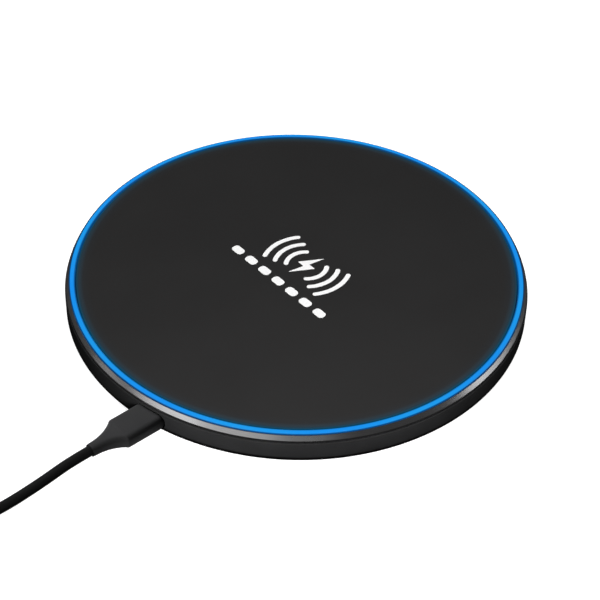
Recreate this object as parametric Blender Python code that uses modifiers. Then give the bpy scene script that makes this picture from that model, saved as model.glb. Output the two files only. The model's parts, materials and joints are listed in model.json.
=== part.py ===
"""Round wireless charging pad with a lit rim, and the charging cable plugged into its side.

Frame: +Z up with z = 0 at the soles of the feet, the pad's centre on the Z axis, the port on
the -Y side and the cable leaving along -Y. Lengths are in metres, written as numbers of MM.
"""
import math

import bmesh
import bpy
from mathutils import Vector

MM = 0.001
GAP = 0.25 * MM                      # clearance kept between neighbouring pieces

# Driving dimensions of the pad
PAD_R = 55.0 * MM                    # outside radius of the wall
PAD_H = 7.8 * MM                     # soles of the feet to the crown of the light ring
FLOOR_Z = 0.4 * MM                   # underside of the base
FLOOR_T = 0.9 * MM                   # thickness of the base's floor
WALL_TOP = 5.65 * MM
WALL_IN_R = 53.2 * MM                # inside of the wall
LEDGE_R = 51.2 * MM                  # inside of the thick lower part of the wall
LEDGE_TOP = 3.9 * MM
PANEL_R = 52.25 * MM
PANEL_Z0, PANEL_Z1 = 6.55 * MM, 7.75 * MM
RING_IN_R, RING_OUT_R = 52.5 * MM, 53.8 * MM

# Screws, their posts and the feet that cover them
POST_ORBIT = 44.0 * MM
POST_ANGLES = [45, 135, 225, 315]
POST_TOP = 2.6 * MM
FOOT_R = 4.7 * MM
SCREW_HEAD_R, SCREW_R = 1.9 * MM, 0.9 * MM

# Coil, ferrite and foam in the middle
WIRE_D = 1.0 * MM
COIL_TURNS = 9
COIL_IN_R = 11.0 * MM
COIL_PITCH = WIRE_D + 0.3 * MM
COIL_Z = 5.3 * MM
FERRITE_R, FERRITE_Z0, FERRITE_Z1 = 26.0 * MM, 3.6 * MM, 4.5 * MM
LEAD_X = -2.0 * MM                   # the coil's inner lead runs out along -Y here
LEAD_Z = 3.95 * MM

# Circuit board
PCB_Z0, PCB_Z1 = 2.5 * MM, 3.3 * MM
PCB_X0, PCB_X1, PCB_Y1 = -17.0 * MM, 23.5 * MM, -28.5 * MM
PCB_R = 50.9 * MM
CHIP_Z = PCB_Z1 + GAP                # parts stand this high on the board
LED_ANGLE = -54.5                    # first lamp, clear of the port

# Port and plug: micro-USB, 6.85 x 1.8 mm shell
PORT_X, PORT_Z = 12.3 * MM, 3.0 * MM
SHELL_W, SHELL_H, SHELL_T = 6.85 * MM, 1.8 * MM, 0.25 * MM
SHELL_NARROW = 5.4 * MM              # the shell's narrow lower side
MOULD_W, MOULD_H, MOULD_R = 7.6 * MM, 3.9 * MM, 1.7 * MM
MOULD_Y0 = -51.6 * MM                # front face, just inside the port
SHOULDER_Y = -62.3 * MM
NECK_Y = -69.9 * MM

# Cable: 1 m long, its unseen length wound in a flat coil of two layers
CABLE_D = 2.4 * MM
TURN_IN_R, TURN_OUT_R = 7.5 * MM, 19.8 * MM      # centrelines of the inmost and outmost turns
BUNDLE_C = Vector((PORT_X - TURN_OUT_R, -109.0 * MM, 0.0))
BUNDLE_IN_R, BUNDLE_OUT_R = TURN_IN_R - CABLE_D / 2, TURN_OUT_R + CABLE_D / 2
BUNDLE_Z0 = 0.6 * MM
BUNDLE_Z1 = BUNDLE_Z0 + 2 * CABLE_D
CABLE_ROUTE = [(12.3, -70.2, 3.0), (12.3, -76.0, 2.8), (12.3, -83.0, 1.9), (12.3, -90.0, 1.35),
               (12.3, -95.0, 1.45), (12.3, -98.2, 1.7)]
TAIL_ROUTE = [(-27.3, -98.2, 3.7), (-27.4, -93.0, 2.5), (-28.2, -87.5, 2.2), (-29.5, -83.4, 3.0),
              (-31.0, -80.9, 3.8)]
USB_A_START = Vector((-31.4 * MM, -80.6 * MM, 3.9 * MM))
USB_A_YAW = math.radians(146.0)
USB_A_W, USB_A_H, USB_A_T = 12.0 * MM, 4.5 * MM, 0.3 * MM


# ---------------------------------------------------------------- scene and materials
def clear_scene():
    for obj in list(bpy.data.objects):
        bpy.data.objects.remove(obj, do_unlink=True)


def make_collection(name):
    coll = bpy.data.collections.new(name)
    bpy.context.scene.collection.children.link(coll)
    return coll


def make_material(name, colour, roughness, metallic=0.0):
    mat = bpy.data.materials.new(name)
    mat.use_nodes = True
    shader = mat.node_tree.nodes["Principled BSDF"]
    shader.inputs["Base Color"].default_value = (*colour, 1.0)
    shader.inputs["Roughness"].default_value = roughness
    shader.inputs["Metallic"].default_value = metallic
    return mat


clear_scene()
PARTS = make_collection("wireless_charging_pad")
CUTTERS = make_collection("cutters")

BLACK_PLASTIC = ((0.018, 0.018, 0.019), 0.55)
MATS = {name: make_material(name, *look) for name, look in {
    "base_black": ((0.016, 0.016, 0.017), 0.6),
    "frame_grey": ((0.09, 0.09, 0.095), 0.6),
    "trim_aluminium": ((0.70, 0.71, 0.72), 0.28, 1.0),
    "light_guide_blue": ((0.02, 0.33, 0.95), 0.35),
    "panel_satin": ((0.028, 0.028, 0.028), 0.42),
    "adhesive": ((0.62, 0.60, 0.52), 0.8),
    "silicone": ((0.03, 0.03, 0.032), 0.85),
    "screw_steel": ((0.35, 0.35, 0.36), 0.35, 1.0),
    "label_grey": ((0.10, 0.10, 0.10), 0.6),
    "copper_litz": ((0.62, 0.30, 0.14), 0.45, 1.0),
    "ferrite": ((0.05, 0.05, 0.055), 0.75),
    "foam": ((0.06, 0.06, 0.065), 0.95),
    "pcb_green": ((0.02, 0.14, 0.06), 0.45),
    "tin_shell": ((0.66, 0.66, 0.67), 0.3, 1.0),
    "contact_plastic": BLACK_PLASTIC,
    "chip_black": ((0.025, 0.025, 0.027), 0.5),
    "capacitor_tan": ((0.42, 0.30, 0.17), 0.5),
    "inductor_grey": ((0.12, 0.12, 0.125), 0.6),
    "led_white": ((0.85, 0.87, 0.90), 0.35),
    "board_white": ((0.78, 0.78, 0.74), 0.5),
    "plug_black": ((0.02, 0.02, 0.021), 0.5),
    "cable_black": ((0.017, 0.017, 0.018), 0.5),
    "tie_black": ((0.02, 0.02, 0.022), 0.9),
}.items()}


# ---------------------------------------------------------------- shape helpers
def place(obj, mat=None, parent=None):
    """Put a part in the assembly; without a material it is a cutter."""
    if mat is None:
        CUTTERS.objects.link(obj)
        obj.hide_render = True
        obj.display_type = "WIRE"
    else:
        PARTS.objects.link(obj)
        obj.data.materials.append(MATS[mat])
        obj.parent = parent
    return obj


def mesh_object(name, bm, mat=None, parent=None, smooth=False):
    bmesh.ops.recalc_face_normals(bm, faces=bm.faces)
    mesh = bpy.data.meshes.new(name)
    bm.to_mesh(mesh)
    bm.free()
    if smooth:
        mesh.shade_smooth()
        mesh.set_sharp_from_angle(angle=math.radians(35))
    return place(bpy.data.objects.new(name, mesh), mat, parent)


def turned(name, profile, mat=None, steps=48, at=(0.0, 0.0), parent=None):
    """Turn an (r, z) outline about Z; it starts on the axis for a disc, else it is a closed ring."""
    solid = min(r for r, _ in profile) == 0.0
    count = len(profile)
    edges = [(i, (i + 1) % count) for i in range(count - 1 if solid else count)]
    mesh = bpy.data.meshes.new(name)
    mesh.from_pydata([(r, 0.0, z) for r, z in profile], edges, [])
    obj = place(bpy.data.objects.new(name, mesh), mat, parent)
    obj.location = (at[0], at[1], 0.0)
    screw = obj.modifiers.new("Turn", "SCREW")
    screw.steps = screw.render_steps = steps
    screw.use_merge_vertices = True
    screw.merge_threshold = 0.000001
    return obj


def block(name, size, centre, mat=None, bevel=0.0, parent=None):
    bm = bmesh.new()
    bmesh.ops.create_cube(bm, size=1.0)
    bmesh.ops.scale(bm, vec=size, verts=bm.verts)
    obj = mesh_object(name, bm, mat, parent)
    obj.location = centre
    if bevel:
        soften(obj, bevel)
    return obj


def soften(obj, width, segments=1):
    mod = obj.modifiers.new("Edges", "BEVEL")
    mod.width = width
    mod.segments = segments
    mod.limit_method = "ANGLE"
    mod.angle_limit = math.radians(40)


def prism(name, outline, start, end, axis, mat=None, parent=None):
    """Extrude a flat outline from start to end, along Y (outline in x, z) or Z (outline in x, y)."""
    bm = bmesh.new()
    if axis == "Y":
        verts = [bm.verts.new((a, start, b)) for a, b in outline]
        shift = (0.0, end - start, 0.0)
    else:
        verts = [bm.verts.new((a, b, start)) for a, b in outline]
        shift = (0.0, 0.0, end - start)
    face = bm.faces.new(verts)
    grown = bmesh.ops.extrude_face_region(bm, geom=[face])
    moved = [v for v in grown["geom"] if isinstance(v, bmesh.types.BMVert)]
    bmesh.ops.translate(bm, vec=shift, verts=moved)
    return mesh_object(name, bm, mat, parent)


def loft(name, sections, mat, parent=None):
    """Skin over rings of points, one ring for each section, capped at both ends."""
    bm = bmesh.new()
    rings = [[bm.verts.new(point) for point in section] for section in sections]
    for a, b in zip(rings, rings[1:]):
        for i in range(len(a)):
            j = (i + 1) % len(a)
            bm.faces.new((a[i], a[j], b[j], b[i]))
    bm.faces.new(rings[0][::-1])
    bm.faces.new(rings[-1])
    return mesh_object(name, bm, mat, parent, smooth=True)


def boolean(obj, cutter, operation="DIFFERENCE"):
    mod = obj.modifiers.new(cutter.name, "BOOLEAN")
    mod.operation = operation
    mod.object = cutter
    mod.solver = "EXACT"


def rounded_rect(width, height, radius, centre=(0.0, 0.0), corner_steps=4):
    """Outline of a rounded rectangle, counter-clockwise from its right-hand side."""
    points = []
    for quadrant in range(4):
        sx = 1 if quadrant in (0, 3) else -1
        sz = 1 if quadrant < 2 else -1
        for step in range(corner_steps + 1):
            angle = math.radians(90 * (quadrant + step / corner_steps))
            points.append((centre[0] + sx * (width / 2 - radius) + radius * math.cos(angle),
                           centre[1] + sz * (height / 2 - radius) + radius * math.sin(angle)))
    return points


def arc(cx, cz, radius, start, end, steps):
    """Points of an arc, with angles in degrees from the first axis towards the second."""
    for step in range(steps + 1):
        angle = math.radians(start + (end - start) * step / steps)
        yield cx + radius * math.cos(angle), cz + radius * math.sin(angle)


def smooth_route(points, spacing):
    """Even points along a smooth curve (Catmull-Rom) through the route's own points."""
    knots = [Vector(p) for p in points]
    knots = [2 * knots[0] - knots[1]] + knots + [2 * knots[-1] - knots[-2]]
    fine = []
    for a, b, c, d in zip(knots, knots[1:], knots[2:], knots[3:]):
        for step in range(16):
            t = step / 16
            fine.append(0.5 * (2 * b + (c - a) * t + (2 * a - 5 * b + 4 * c - d) * t * t
                               + (3 * b - a - 3 * c + d) * t ** 3))
    fine.append(knots[-2])
    total = sum((q - p).length for p, q in zip(fine, fine[1:]))
    count = max(2, round(total / spacing))
    even, travelled, target = [fine[0]], 0.0, total / count
    for p, q in zip(fine, fine[1:]):
        step = (q - p).length
        while travelled + step >= target - 1e-12 and len(even) < count:
            even.append(p.lerp(q, (target - travelled) / step))
            target += total / count
        travelled += step
    return even + [fine[-1]]


def wire(name, points, diameter, mat, resolution=2, parent=None):
    curve = bpy.data.curves.new(name, "CURVE")
    curve.dimensions = "3D"
    curve.bevel_depth = diameter / 2
    curve.bevel_resolution = resolution
    curve.use_fill_caps = True
    spline = curve.splines.new("POLY")
    spline.points.add(len(points) - 1)
    for target, point in zip(spline.points, points):
        target.co = (*point, 1.0)
    obj = bpy.data.objects.new(name, curve)
    return place(obj, mat, parent)


def polar(radius, degrees):
    return radius * math.cos(math.radians(degrees)), radius * math.sin(math.radians(degrees))


def d_outline(grow):
    """The D-shaped micro-USB section, grown or shrunk all round, centred on the port."""
    half, narrow, high = SHELL_W / 2 + grow, SHELL_NARROW / 2 + grow * 0.7, SHELL_H / 2 + grow
    step_z = 0.1 * MM
    corners = [(half, high), (-half, high), (-half, step_z), (-narrow, -high), (narrow, -high), (half, step_z)]
    return [(PORT_X + x, PORT_Z + z) for x, z in corners]


# ---------------------------------------------------------------- case
def make_base_shell():
    """Moulded base: floor, wall, posts for the screws and the board, and the port's opening."""
    inner_floor = FLOOR_Z + FLOOR_T
    profile = [(0.0, inner_floor), (LEDGE_R, inner_floor), (LEDGE_R, LEDGE_TOP), (WALL_IN_R, LEDGE_TOP),
               (WALL_IN_R, WALL_TOP), (PAD_R - 0.15 * MM, WALL_TOP), (PAD_R, WALL_TOP - 0.15 * MM)]
    profile += list(arc(PAD_R - 0.6 * MM, FLOOR_Z + 0.6 * MM, 0.6 * MM, 0, -90, 3)) + [(0.0, FLOOR_Z)]
    base = turned("base_shell", profile, "base_black", steps=80)
    for index, angle in enumerate(POST_ANGLES):
        x, y = polar(POST_ORBIT, angle)
        post = turned(f"cut_post_{index}", [(0.0, POST_TOP), (6.0 * MM, POST_TOP), (6.0 * MM, 1.0 * MM),
                                            (0.0, 1.0 * MM)], steps=20, at=(x, y))
        boolean(base, post, "UNION")
    peg_top, peg_r, root_z = PCB_Z0 - GAP, 1.4 * MM, 1.0 * MM
    for index, (x, y) in enumerate([(-13.0, -44.0), (-13.0, -31.0), (19.5, -31.5)]):
        peg = turned(f"cut_peg_{index}", [(0.0, peg_top), (peg_r, peg_top), (peg_r, root_z), (0.0, root_z)],
                     steps=10, at=(x * MM, y * MM))
        boolean(base, peg, "UNION")
    for index, angle in enumerate(POST_ANGLES):
        x, y = polar(POST_ORBIT, angle)
        bore = [(0.0, 3.0 * MM), (1.2 * MM, 3.0 * MM), (1.2 * MM, 1.85 * MM), (2.2 * MM, 1.85 * MM),
                (2.2 * MM, 0.9 * MM), (FOOT_R + GAP, 0.9 * MM), (FOOT_R + GAP, -1.0 * MM), (0.0, -1.0 * MM)]
        boolean(base, turned(f"cut_bore_{index}", bore, steps=20, at=(x, y)))
    label_recess = turned("cut_label", [(0.0, 0.8 * MM), (17.3 * MM, 0.8 * MM), (17.3 * MM, -1.0 * MM),
                                        (0.0, -1.0 * MM)], steps=40)
    boolean(base, label_recess)
    centre = (PORT_X, PORT_Z)
    mouth = rounded_rect(MOULD_W + 2 * GAP, MOULD_H + 2 * GAP, MOULD_R + GAP, centre)
    boolean(base, prism("cut_mouth", mouth, -57.0 * MM, -51.25 * MM, "Y"))
    throat = rounded_rect(8.5 * MM, 3.5 * MM, 0.5 * MM, centre, corner_steps=1)
    boolean(base, prism("cut_throat", throat, -51.4 * MM, -46.0 * MM, "Y"))
    return base


def make_mid_frame():
    """Inner ring with four screw bosses; the top panel is taped to it."""
    z0, z1 = 5.0 * MM, 6.0 * MM
    frame = turned("mid_frame", [(46.2 * MM, z1), (50.2 * MM, z1), (50.2 * MM, z0), (46.2 * MM, z0)],
                   "frame_grey", steps=64)
    for index, angle in enumerate(POST_ANGLES):
        x, y = polar(POST_ORBIT, angle)
        boss_z = POST_TOP + GAP
        boss_top, boss_r = z1 - 0.1 * MM, 3.2 * MM
        outline = [(0.0, boss_top), (boss_r, boss_top), (boss_r, boss_z), (0.0, boss_z)]
        boss = turned(f"cut_boss_{index}", outline, steps=16, at=(x, y))
        boolean(frame, boss, "UNION")
        pilot_r = SCREW_R + GAP
        pilot = turned(f"cut_pilot_{index}", [(0.0, 5.45 * MM), (pilot_r, 5.45 * MM), (pilot_r, 2.0 * MM),
                                              (0.0, 2.0 * MM)], steps=10, at=(x, y))
        boolean(frame, pilot)


def make_rim():
    """Chamfered metal trim ring, the light guide inside it, and the top panel with its tape."""
    trim_out = 54.72 * MM
    trim = [(54.0 * MM, 7.52 * MM), (54.12 * MM, 7.52 * MM), (trim_out, 6.35 * MM), (trim_out, 5.9 * MM),
            (53.15 * MM, 5.9 * MM), (53.15 * MM, 6.35 * MM), (54.0 * MM, 6.35 * MM)]
    turned("bezel_trim", trim, "trim_aluminium", steps=80)

    crown = [(RING_IN_R, 7.62 * MM), (RING_IN_R + 0.2 * MM, PAD_H - 0.04 * MM), (53.0 * MM, PAD_H),
             (53.45 * MM, PAD_H - 0.06 * MM), (RING_OUT_R, 7.55 * MM)]
    foot = [(RING_OUT_R, 6.6 * MM), (52.9 * MM, 6.6 * MM), (52.9 * MM, 5.75 * MM), (50.5 * MM, 5.75 * MM),
            (50.5 * MM, 6.3 * MM), (RING_IN_R, 6.3 * MM)]
    turned("light_guide_ring", crown + foot, "light_guide_blue", steps=80)

    edge = 0.12 * MM
    panel = [(0.0, PANEL_Z1), (PANEL_R - edge, PANEL_Z1), (PANEL_R, PANEL_Z1 - edge), (PANEL_R, PANEL_Z0),
             (0.0, PANEL_Z0)]
    turned("top_panel", panel, "panel_satin", steps=80)
    turned("panel_adhesive_ring", [(46.4 * MM, 6.35 * MM), (50.0 * MM, 6.35 * MM), (50.0 * MM, 6.2 * MM),
                                   (46.4 * MM, 6.2 * MM)], "adhesive", steps=48)


def make_feet_and_screws():
    for index, angle in enumerate(POST_ANGLES, 1):
        x, y = polar(POST_ORBIT, angle)
        foot = [(0.0, 0.65 * MM), (FOOT_R, 0.65 * MM), (FOOT_R, 0.2 * MM), (FOOT_R - 0.2 * MM, 0.0), (0.0, 0.0)]
        turned(f"foot_{index}", foot, "silicone", steps=24, at=(x, y))
        head_z0, head_z1, tip = 0.95 * MM, 1.6 * MM, 5.2 * MM
        shank = [(0.0, tip), (SCREW_R * 0.6, tip), (SCREW_R, tip - 0.4 * MM), (SCREW_R, head_z1)]
        head = [(SCREW_HEAD_R, head_z1), (SCREW_HEAD_R, head_z0 + 0.2 * MM),
                (SCREW_HEAD_R - 0.3 * MM, head_z0), (0.0, head_z0)]
        obj = turned(f"case_screw_{index}", shank + head, "screw_steel", steps=16, at=(x, y))
        slot_size = (0.5 * MM, 2.2 * MM, 0.6 * MM)
        for turn, size in (("a", slot_size), ("b", (slot_size[1], slot_size[0], slot_size[2]))):
            boolean(obj, block(f"cut_slot_{index}{turn}", size, (x, y, head_z0)))
    turned("rating_label", [(0.0, 0.55 * MM), (17.0 * MM, 0.55 * MM), (17.0 * MM, 0.42 * MM), (0.0, 0.42 * MM)],
           "label_grey", steps=40)


# ---------------------------------------------------------------- inside
def make_coil_stack():
    """Foam pad, ferrite, flat spiral coil, and the tape that holds the coil to the panel."""
    turned("foam_pad", [(0.0, 3.15 * MM), (24.0 * MM, 3.15 * MM), (24.0 * MM, 1.55 * MM), (0.0, 1.55 * MM)],
           "foam", steps=40)
    ferrite = turned("ferrite_disc", [(0.0, FERRITE_Z1), (FERRITE_R, FERRITE_Z1), (FERRITE_R, FERRITE_Z0),
                                      (0.0, FERRITE_Z0)], "ferrite", steps=48)
    slot_len = 20.0 * MM
    boolean(ferrite, block("cut_lead_slot", (WIRE_D + 0.7 * MM, slot_len, 3.0 * MM),
                           (LEAD_X, -FERRITE_R + slot_len / 2 - 1.0 * MM, 4.0 * MM)))

    # The wire: in from the board under the turns, up through the slot, then outwards and back.
    start_angle, per_turn = -100.0, 20
    points = [Vector((LEAD_X, -31.5 * MM, LEAD_Z)), Vector((LEAD_X, -24.0 * MM, LEAD_Z)),
              Vector((LEAD_X, -11.5 * MM, LEAD_Z)), Vector((LEAD_X, -9.3 * MM, 4.4 * MM))]
    for step in range(COIL_TURNS * per_turn + 1):
        turn = step / per_turn
        x, y = polar(COIL_IN_R - 0.6 * MM + COIL_PITCH * turn, start_angle + 360.0 * turn)
        points.append(Vector((x, y, COIL_Z)))
    points += [Vector((2.0 * MM, -26.2 * MM, 5.2 * MM)), Vector((3.5 * MM, -29.0 * MM, 4.6 * MM)),
               Vector((4.0 * MM, -31.5 * MM, LEAD_Z + 0.1 * MM))]
    wire("transmit_coil", points, WIRE_D, "copper_litz", resolution=1)

    turned("coil_tape", [(0.0, 6.3 * MM), (24.5 * MM, 6.3 * MM), (24.5 * MM, 6.05 * MM), (0.0, 6.05 * MM)],
           "adhesive", steps=40)
    turned("thermistor", [(0.0, 5.7 * MM), (0.9 * MM, 5.5 * MM), (1.3 * MM, 5.2 * MM), (0.9 * MM, 4.9 * MM),
                          (0.0, 4.75 * MM)], "chip_black", steps=12)


def make_board():
    """Crescent board beside the ferrite, with its chips, capacitors and inductor."""
    first, last = (270 + math.degrees(math.asin(x / PCB_R)) for x in (PCB_X0, PCB_X1))
    low = list(arc(0.0, 0.0, PCB_R, first, last, 12))
    board = prism("main_board", low + [(PCB_X1, PCB_Y1), (PCB_X0, PCB_Y1)], PCB_Z0, PCB_Z1, "Z", "pcb_green")
    boolean(board, block("cut_notch", (8.6 * MM, 9.0 * MM, 3.0 * MM), (PORT_X, -49.6 * MM, 3.0 * MM)))

    chips = {"controller_chip": (6.0, 6.0, 0.9, -6.0, -40.5), "power_switch_1": (5.0, 4.0, 1.0, 1.8, -37.0),
             "power_switch_2": (5.0, 4.0, 1.0, 1.8, -43.2)}
    for name, (w, d, h, x, y) in chips.items():
        block(name, (w * MM, d * MM, h * MM), (x * MM, y * MM, CHIP_Z + h * MM / 2), "chip_black")
    for index in range(4):
        x = (-14.5 + 3.8 * index) * MM
        block(f"resonant_capacitor_{index + 1}", (2.5 * MM, 3.2 * MM, 1.6 * MM),
              (x, -34.2 * MM, CHIP_Z + 0.8 * MM), "capacitor_tan")
    block("filter_inductor", (6.0 * MM, 6.0 * MM, 2.0 * MM), (17.5 * MM, -38.0 * MM, CHIP_Z + 1.0 * MM),
          "inductor_grey", bevel=0.5 * MM)


def make_led_ring():
    """Open ring of flexible board under the light guide, and its eight LEDs."""
    z0, z1 = LEDGE_TOP + GAP, LEDGE_TOP + GAP + 0.5 * MM
    ring = turned("led_board", [(50.6 * MM, z1), (52.9 * MM, z1), (52.9 * MM, z0), (50.6 * MM, z0)],
                  "board_white", steps=64)
    boolean(ring, block("cut_led_gap", (11.6 * MM, 20.0 * MM, 6.0 * MM), (PORT_X, -50.0 * MM, z0)))
    for index in range(8):
        angle = LED_ANGLE + 45.0 * index
        x, y = polar(51.75 * MM, angle)
        led = block(f"led_{index + 1}", (1.2 * MM, 2.0 * MM, 0.6 * MM), (x, y, z1 + 0.5 * MM), "led_white")
        led.rotation_euler.z = math.radians(angle)


def make_port():
    shell = prism("port_shell", d_outline(0.5 * MM), -51.05 * MM, -45.6 * MM, "Y", "tin_shell")
    boolean(shell, prism("cut_port_shell", d_outline(0.25 * MM), -60.0 * MM, -40.0 * MM, "Y"))
    tongue = prism("port_tongue", d_outline(0.0), -46.1 * MM, -45.2 * MM, "Y", "contact_plastic")
    boolean(tongue, block("cut_tongue", (3.7 * MM, 4.6 * MM, 0.6 * MM), (PORT_X, -48.1 * MM, PORT_Z)), "UNION")


# ---------------------------------------------------------------- cable
def make_plug(parent):
    """Micro-USB plug: metal shell, its insert, and the moulding that tapers to the cable."""
    shell = prism("plug_shell", d_outline(0.0), MOULD_Y0 + GAP, -46.4 * MM, "Y", "tin_shell")
    boolean(shell, prism("cut_plug_shell", d_outline(-SHELL_T), -60.0 * MM, -40.0 * MM, "Y"))
    prism("plug_insert", d_outline(-2 * SHELL_T), MOULD_Y0 + GAP, -50.7 * MM, "Y", "contact_plastic")

    # Sections from the front face back to the end of the neck: y, width, height, corner radius
    body = (MOULD_W / MM, MOULD_H / MM, MOULD_R / MM)
    sections = [(MOULD_Y0, 7.2, 3.5, 1.5), (MOULD_Y0 - 0.25 * MM, *body), (SHOULDER_Y + 0.4 * MM, *body),
                (SHOULDER_Y, 7.3, 3.75, 1.7), (SHOULDER_Y - 0.35 * MM, 6.5, 3.6, 1.7),
                (SHOULDER_Y - 1.6 * MM, 5.3, 3.45, 1.65), (SHOULDER_Y - 3.2 * MM, 4.2, 3.3, 1.6),
                (SHOULDER_Y - 5.0 * MM, 3.4, 3.15, 1.55), (NECK_Y, 3.05, 3.05, 1.5249)]
    rings = []
    for y, width, height, radius in sections:
        outline = rounded_rect(width * MM, height * MM, radius * MM, (PORT_X, PORT_Z))
        rings.append([(x, y, z) for x, z in outline])
    loft("plug_moulding", rings, "plug_black")
    for name in ("plug_shell", "plug_insert", "plug_moulding"):
        adopt(bpy.data.objects[name], parent)


def adopt(obj, parent):
    """Hang a part on the moving cable's empty, keeping its place."""
    obj.parent = parent
    obj.matrix_parent_inverse = parent.matrix_world.inverted()


def make_cable(parent):
    route = smooth_route([Vector(p) * MM for p in CABLE_ROUTE], 2.6 * CABLE_D)
    tail = smooth_route([Vector(p) * MM for p in TAIL_ROUTE], 2.6 * CABLE_D)
    adopt(wire("cable_lead", route, CABLE_D, "cable_black"), parent)
    adopt(wire("cable_tail", tail, CABLE_D, "cable_black"), parent)

    soft = 1.2 * MM
    z0, z1, r0, r1 = BUNDLE_Z0, BUNDLE_Z1, BUNDLE_IN_R, BUNDLE_OUT_R
    low, high = z0 + soft, z1 - soft
    profile = []
    corners = [(r1 - soft, high), (r1 - soft, low), (r0 + soft, low), (r0 + soft, high)]
    for (r, z), start in zip(corners, (90, 0, 270, 180)):
        profile += arc(r, z, soft, start, start - 90, 3)
    bundle = turned("cable_coil", profile, "cable_black", steps=32, at=BUNDLE_C.xy)
    adopt(bundle, parent)

    # The tie wraps the bundle's section on its far side from the pad.
    tie_w, tie_t, slack, bow = 4.0 * MM, 0.4 * MM, 0.2 * MM, 0.3 * MM
    width, height = r1 - r0 + 2 * slack + bow, z1 - z0 + 2 * slack
    centre = ((r0 + r1 - bow) / 2, (z0 + z1) / 2)
    outer = rounded_rect(width + 2 * tie_t, height + 2 * tie_t, 1.4 * MM, centre, corner_steps=2)
    inner = rounded_rect(width, height, 1.0 * MM, centre, corner_steps=2)
    tie = prism("cable_tie", outer, -tie_w / 2, tie_w / 2, "Y", "tie_black")
    hole = prism("cut_tie", inner, -tie_w, tie_w, "Y")
    for obj in (tie, hole):
        obj.location = BUNDLE_C
        obj.rotation_euler.z = math.radians(-90)
    boolean(tie, hole)
    adopt(tie, parent)


def make_usb_a_plug(parent):
    """Far-end plug, lying flat; its own frame runs along +X from the end of the cable."""
    origin = bpy.data.objects.new("usb_a_origin", None)
    PARTS.objects.link(origin)
    origin.location = USB_A_START
    origin.rotation_euler.z = USB_A_YAW
    origin.parent = parent
    origin.matrix_parent_inverse = parent.matrix_world.inverted()

    # Sections from the cable end to the front face: x, width, height, corner radius
    front = 25.4
    grip = [(0.1, 3.4, 3.4, 1.69), (5.5, 4.6, 4.4, 1.9), (6.2, 11.0, 6.2, 2.2), (7.5, 14.6, 7.4, 2.4),
            (front - 0.4, 15.4, 7.6, 2.4), (front, 14.8, 7.0, 2.1)]
    rings = []
    for x, width, height, radius in grip:
        outline = rounded_rect(width * MM, height * MM, radius * MM, corner_steps=3)
        rings.append([(x * MM, -across, z) for across, z in outline])
    loft("usb_a_moulding", rings, "plug_black", origin)

    x0, length, recess = front * MM + GAP, 12.0 * MM, 1.0 * MM
    cavity_w, cavity_h = USB_A_W - 2 * USB_A_T, USB_A_H - 2 * USB_A_T
    shell = block("usb_a_shell", (length, USB_A_W, USB_A_H), (x0 + length / 2, 0, 0), "tin_shell",
                  parent=origin)
    cavity = block("cut_usb_a", (length * 2, cavity_w, cavity_h), (x0 + length, 0, 0))
    cavity.parent = origin
    boolean(shell, cavity)
    insert_h = 1.8 * MM
    insert_z = -USB_A_H / 2 + USB_A_T + GAP + insert_h / 2
    block("usb_a_insert", (length - recess, cavity_w - 2 * GAP, insert_h),
          (x0 + (length - recess) / 2, 0, insert_z), "contact_plastic", parent=origin)


def make_cable_assembly():
    origin = bpy.data.objects.new("cable_origin", None)
    PARTS.objects.link(origin)
    origin.location = (PORT_X, MOULD_Y0, PORT_Z)
    bpy.context.view_layer.update()
    make_plug(origin)
    make_cable(origin)
    make_usb_a_plug(origin)


def main():
    make_base_shell()
    make_mid_frame()
    make_rim()
    make_feet_and_screws()
    make_coil_stack()
    make_board()
    make_led_ring()
    make_port()
    make_cable_assembly()


main()
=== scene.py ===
"""Looks of the wireless charging pad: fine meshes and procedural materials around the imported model.

Same frame as the part: +Z up, z = 0 at the soles of the feet, the pad's centre on the Z axis,
the port on the -Y side. Shapes are written in millimetres and scaled once, when a mesh is made.
"""
import json
import math

import bmesh
import bpy
from mathutils import Matrix, Vector


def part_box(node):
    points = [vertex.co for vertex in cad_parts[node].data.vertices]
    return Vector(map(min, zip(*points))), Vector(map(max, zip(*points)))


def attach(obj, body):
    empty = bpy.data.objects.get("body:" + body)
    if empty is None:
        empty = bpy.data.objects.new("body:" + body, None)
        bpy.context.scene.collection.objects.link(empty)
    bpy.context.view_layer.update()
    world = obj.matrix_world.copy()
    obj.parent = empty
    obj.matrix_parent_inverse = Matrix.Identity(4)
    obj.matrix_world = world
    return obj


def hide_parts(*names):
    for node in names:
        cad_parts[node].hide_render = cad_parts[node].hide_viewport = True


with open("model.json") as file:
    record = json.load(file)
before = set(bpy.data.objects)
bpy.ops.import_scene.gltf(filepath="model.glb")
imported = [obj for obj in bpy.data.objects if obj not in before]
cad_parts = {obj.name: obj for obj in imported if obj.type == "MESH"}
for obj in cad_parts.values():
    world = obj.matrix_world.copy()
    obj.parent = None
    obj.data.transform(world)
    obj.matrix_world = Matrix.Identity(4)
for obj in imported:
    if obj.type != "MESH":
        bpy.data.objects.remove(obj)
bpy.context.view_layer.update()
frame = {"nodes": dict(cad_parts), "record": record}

MM = 0.001
ROUND = 288                      # steps in a large turned piece
GAP = 0.25                       # clearance between neighbouring pieces

# Pad
PAD_R, WALL_TOP, FLOOR_Z, INNER_FLOOR = 55.0, 5.65, 0.4, 1.3
WALL_IN_R, LEDGE_R, LEDGE_TOP = 53.2, 51.2, 3.9
EDGE_R = 0.6                     # rounding of the bottom edge
PANEL_R, PANEL_Z0, PANEL_TOP = 52.25, 6.55, 7.75
RING_IN_R, RING_OUT_R, CROWN = 52.5, 53.8, 7.8
LAMP_ANGLE, LAMPS = -54.5, 8     # first lamp under the light guide, and how many stand round it
POST_ORBIT, POST_TOP = 44.0, 2.6
POST_ANGLES = (45, 135, 225, 315)
FOOT_R = 4.7

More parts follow.
